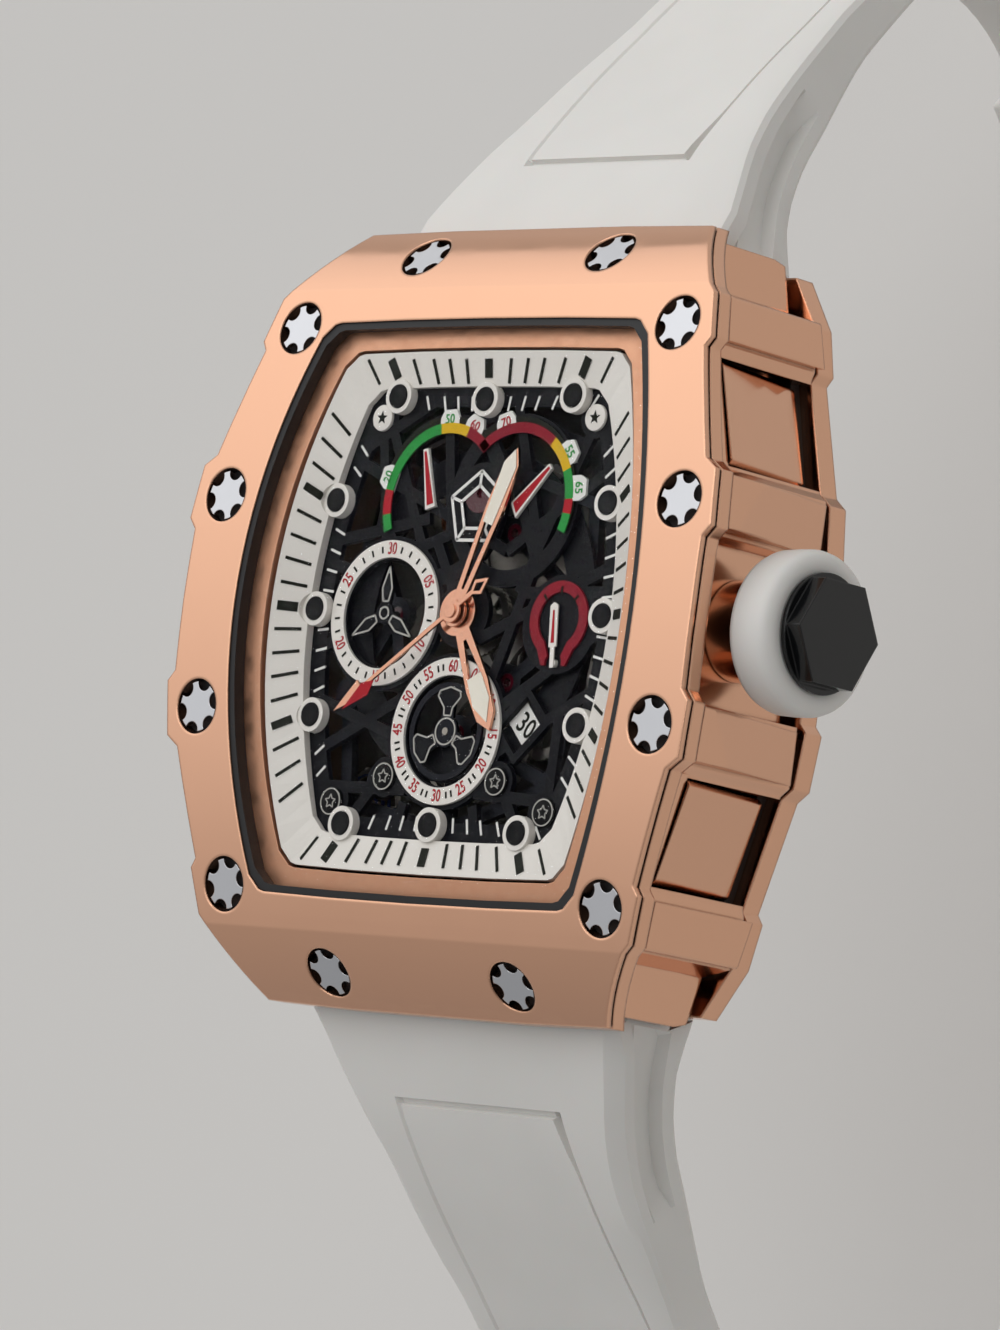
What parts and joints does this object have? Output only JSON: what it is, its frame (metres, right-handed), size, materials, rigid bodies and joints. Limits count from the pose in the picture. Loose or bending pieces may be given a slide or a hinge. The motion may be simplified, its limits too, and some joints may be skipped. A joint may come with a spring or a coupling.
{
  "type": "skeleton wristwatch with rubber strap",
  "caption": "Open-worked wristwatch with a curved tonneau case, screwed bezel, crown, two pushers, gear train and an unfastened rubber strap with buckle.",
  "frame": {"origin": "centre of the case back's outer face", "axes": "+Z out through the dial, +Y towards twelve, +X towards the crown"},
  "size_m": [0.0498, 0.1052, 0.0812],
  "materials": {
    "rose_gold": "polished",
    "steel": "satin",
    "polished_steel": "polished",
    "gasket": "matt",
    "crystal": "clear",
    "white_rubber": "smooth matt",
    "black_coating": "polished black coating",
    "white_print": "white lacquer",
    "green_print": "lacquer",
    "red_print": "lacquer",
    "brass": "satin",
    "plate": "satin grey",
    "jewel": "polished",
    "blued_steel": "blued"
  },
  "bodies": {
    "case": {"bezel": "rose_gold", "bezel_gasket": "gasket", "bezel_screws": "polished_steel", "crystal": "crystal", "crystal_gasket": "gasket", "inner_ring": "rose_gold", "mid_case": "rose_gold", "back_gasket": "gasket", "case_back": "rose_gold", "back_crystal": "crystal", "back_screws": "polished_steel", "crown_tube": "rose_gold", "flange": "white_print", "hour_markers": "black_coating", "dial_plate": "black_coating", "counter_ring_nine": "white_print", "counter_ring_six": "white_print", "gauge_arc": "green_print", "gauge_pointers": "red_print", "function_scale": "red_print", "mainplate": "plate", "train_bridge": "black_coating", "jewels": "jewel", "strap_upper": "white_rubber", "strap_lower": "white_rubber", "strap_bars": "steel", "fixed_keeper": "white_rubber", "spring_bar": "steel"},
    "stem": {"crown_stem": "steel"},
    "crown": {"crown_body": "rose_gold", "crown_ring": "white_rubber", "crown_cap": "black_coating"},
    "pusher_at_two": {"pusher_two": "rose_gold"},
    "pusher_at_four": {"pusher_four": "rose_gold"},
    "minute": {"minute_tube": "brass", "minute_hand": "rose_gold"},
    "hour": {"hour_tube": "brass", "hour_hand": "rose_gold"},
    "seconds": {"seconds_arbor": "steel", "seconds_hand": "red_print"},
    "fourth": {"fourth_wheel": "brass", "small_seconds": "steel"},
    "third": {"third_wheel": "brass"},
    "escape": {"escape_wheel": "brass"},
    "barrel": {"barrel_drum": "brass"},
    "pallet": {"pallet_fork": "steel"},
    "balance": {"balance_wheel": "brass", "hairspring": "blued_steel"},
    "counter": {"counter_hand": "polished_steel"},
    "function": {"function_hand": "white_print"},
    "date": {"date_disc": "black_coating"},
    "winding_rotor": {"rotor": "plate", "rotor_weight": "rose_gold"},
    "buckle": {"buckle_frame": "rose_gold"},
    "tang": {"buckle_tang": "rose_gold"},
    "keeper": {"loose_keeper": "white_rubber"}
  },
  "joints": [
    {"name": "crown_pull", "type": "slide", "parent": "case", "child": "stem", "axis": [1, 0, 0], "range_m": [0, 0.001]},
    {"name": "crown_turn", "type": "hinge", "parent": "stem", "child": "crown", "pos_m": [0.023, 0, 0.0071], "axis": [1, 0, 0], "continuous": true},
    {"name": "pusher_two_press", "type": "slide", "parent": "case", "child": "pusher_at_two", "axis": [-1, 0, 0], "range_m": [0, 0.0006], "stiffness_N_per_m": 300},
    {"name": "pusher_four_press", "type": "slide", "parent": "case", "child": "pusher_at_four", "axis": [-1, 0, 0], "range_m": [0, 0.0006], "stiffness_N_per_m": 300},
    {"name": "minute_turn", "type": "hinge", "parent": "case", "child": "minute", "pos_m": [0, 0, 0.0114], "axis": [0, 0, 1], "continuous": true},
    {"name": "hour_turn", "type": "hinge", "parent": "case", "child": "hour", "pos_m": [0, 0, 0.0114], "axis": [0, 0, 1], "continuous": true},
    {"name": "fourth_turn", "type": "hinge", "parent": "case", "child": "fourth", "pos_m": [0, -0.00745, 0.0114], "axis": [0, 0, 1], "continuous": true},
    {"name": "third_turn", "type": "hinge", "parent": "case", "child": "third", "pos_m": [0.00365, -0.00411, 0.0068], "axis": [0, 0, 1], "continuous": true},
    {"name": "escape_turn", "type": "hinge", "parent": "case", "child": "escape", "pos_m": [-0.0039, -0.0094, 0.0066], "axis": [0, 0, 1], "continuous": true},
    {"name": "barrel_turn", "type": "hinge", "parent": "case", "child": "barrel", "pos_m": [0.0026, 0.0053, 0.0075], "axis": [0, 0, 1], "continuous": true},
    {"name": "seconds_turn", "type": "hinge", "parent": "case", "child": "seconds", "pos_m": [0, 0, 0.0114], "axis": [0, 0, 1], "continuous": true},
    {"name": "counter_turn", "type": "hinge", "parent": "case", "child": "counter", "pos_m": [-0.0067, -0.0001, 0.0114], "axis": [0, 0, 1], "continuous": true},
    {"name": "date_turn", "type": "hinge", "parent": "case", "child": "date", "pos_m": [0, 0, 0.0108], "axis": [0, 0, 1], "continuous": true},
    {"name": "rotor_turn", "type": "hinge", "parent": "case", "child": "winding_rotor", "pos_m": [0, 0, 0.0034], "axis": [0, 0, 1], "continuous": true},
    {"name": "function_turn", "type": "hinge", "parent": "case", "child": "function", "pos_m": [0.00835, -0.00295, 0.0115], "axis": [0, 0, 1], "range_deg": [-22, 22]},
    {"name": "balance_swing", "type": "hinge", "parent": "case", "child": "balance", "pos_m": [-0.0089, -0.0121, 0.008], "axis": [0, 0, 1], "range_deg": [-140, 140], "stiffness_Nm_per_rad": 0.0000001},
    {"name": "pallet_rock", "type": "hinge", "parent": "case", "child": "pallet", "pos_m": [-0.0061, -0.0106, 0.0066], "axis": [0, 0, 1], "range_deg": [-5, 5]},
    {"name": "buckle_swing", "type": "hinge", "parent": "case", "child": "buckle", "pos_m": [0, 0.04085, -0.05384], "axis": [1, 0, 0], "range_deg": [-60, 35]},
    {"name": "tang_swing", "type": "hinge", "parent": "buckle", "child": "tang", "pos_m": [0, 0.04085, -0.05384], "axis": [1, 0, 0], "range_deg": [0, 60]},
    {"name": "keeper_slide", "type": "slide", "parent": "case", "child": "keeper", "axis": [0, -0.7071, -0.7071], "range_m": [-0.0005, 0.001]}
  ],
  "couplings": [
    {"joint": "minute_turn", "follows": "fourth_turn", "ratio": 0.016667},
    {"joint": "third_turn", "follows": "fourth_turn", "ratio": -0.13333},
    {"joint": "escape_turn", "follows": "fourth_turn", "ratio": -10},
    {"joint": "hour_turn", "follows": "fourth_turn", "ratio": 0.0013889},
    {"joint": "barrel_turn", "follows": "fourth_turn", "ratio": -0.0031746}
  ]
}
